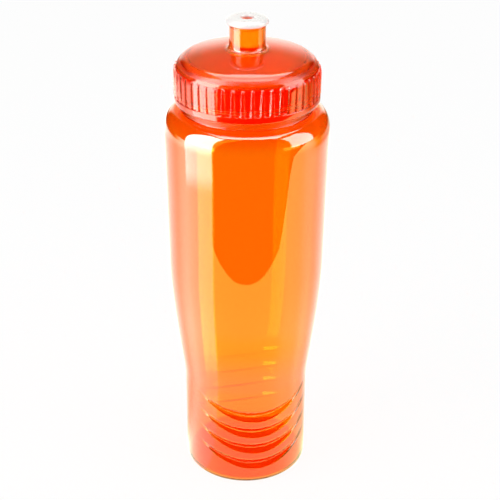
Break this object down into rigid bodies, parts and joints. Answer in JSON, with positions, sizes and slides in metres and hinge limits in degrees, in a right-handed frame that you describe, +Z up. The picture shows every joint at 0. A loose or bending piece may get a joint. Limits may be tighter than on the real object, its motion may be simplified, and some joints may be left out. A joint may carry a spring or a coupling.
{
  "type": "sports squeeze bottle",
  "caption": "Tinted see-through squeeze bottle with finger grooves in its narrow grip, a ribbed screw lid and a push-pull drinking nozzle.",
  "frame": {"origin": "on the bottle's axis, in the plane of the standing ring of its base", "axes": "+Z up the bottle's axis towards the nozzle; the two sets of finger grooves face -Y and +Y; +X is to the right seen from -Y"},
  "size_m": [0.082, 0.082, 0.2509],
  "materials": {
    "bottle_plastic": "clear orange tint, glossy",
    "gasket_silicone": "milky silicone",
    "lid_plastic": "clear orange tint, glossy",
    "nozzle_plastic": "white satin"
  },
  "bodies": {
    "bottle": {"bottle": "bottle_plastic"},
    "gasket": {"lid_gasket": "gasket_silicone"},
    "lid": {"screw_lid": "lid_plastic"},
    "nozzle": {"push_pull_nozzle": "nozzle_plastic"}
  },
  "joints": [
    {"name": "lid_lift", "type": "slide", "parent": "bottle", "child": "gasket", "axis": [0, 0, 1], "range_m": [0, 0.0061]},
    {"name": "lid_turn", "type": "hinge", "parent": "gasket", "child": "lid", "pos_m": [0, 0, 0.2175], "axis": [0, 0, 1], "range_deg": [0, 450]},
    {"name": "nozzle_pull", "type": "slide", "parent": "lid", "child": "nozzle", "axis": [0, 0, 1], "range_m": [0, 0.007]}
  ],
  "couplings": [
    {"joint": "lid_lift", "follows": "lid_turn", "m_per_rad": 0.00076394}
  ]
}
